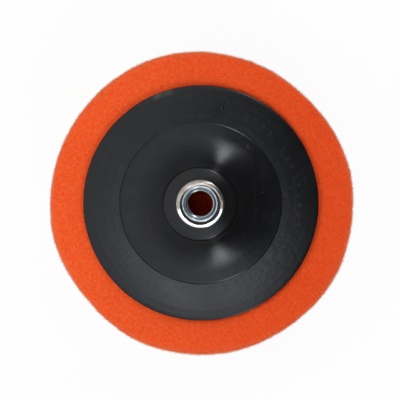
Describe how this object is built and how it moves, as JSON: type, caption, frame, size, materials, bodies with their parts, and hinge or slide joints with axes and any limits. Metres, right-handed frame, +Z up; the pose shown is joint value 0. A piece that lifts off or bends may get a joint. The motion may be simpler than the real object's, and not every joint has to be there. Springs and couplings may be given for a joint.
{
  "type": "polishing pad",
  "caption": "Round open-cell foam polishing pad bonded to a domed plastic backing plate with a threaded steel hub for a rotary polisher.",
  "frame": {"origin": "centre of the foam's working face, the lowest point of the object", "axes": "+Z runs up the spindle axis from the working face to the hub; X and Y lie in the working face, and the pad is round about Z"},
  "size_m": [0.15, 0.15, 0.069],
  "materials": {
    "orange_foam": "matte",
    "adhesive": "satin",
    "black_plastic": "satin",
    "zinc_steel": "satin",
    "nickel_steel": "satin"
  },
  "bodies": {
    "root": {"foam_pad": "orange_foam", "adhesive_film": "adhesive", "backing_plate": "black_plastic", "threaded_bush": "zinc_steel", "seat_ring": "nickel_steel"}
  },
  "joints": []
}
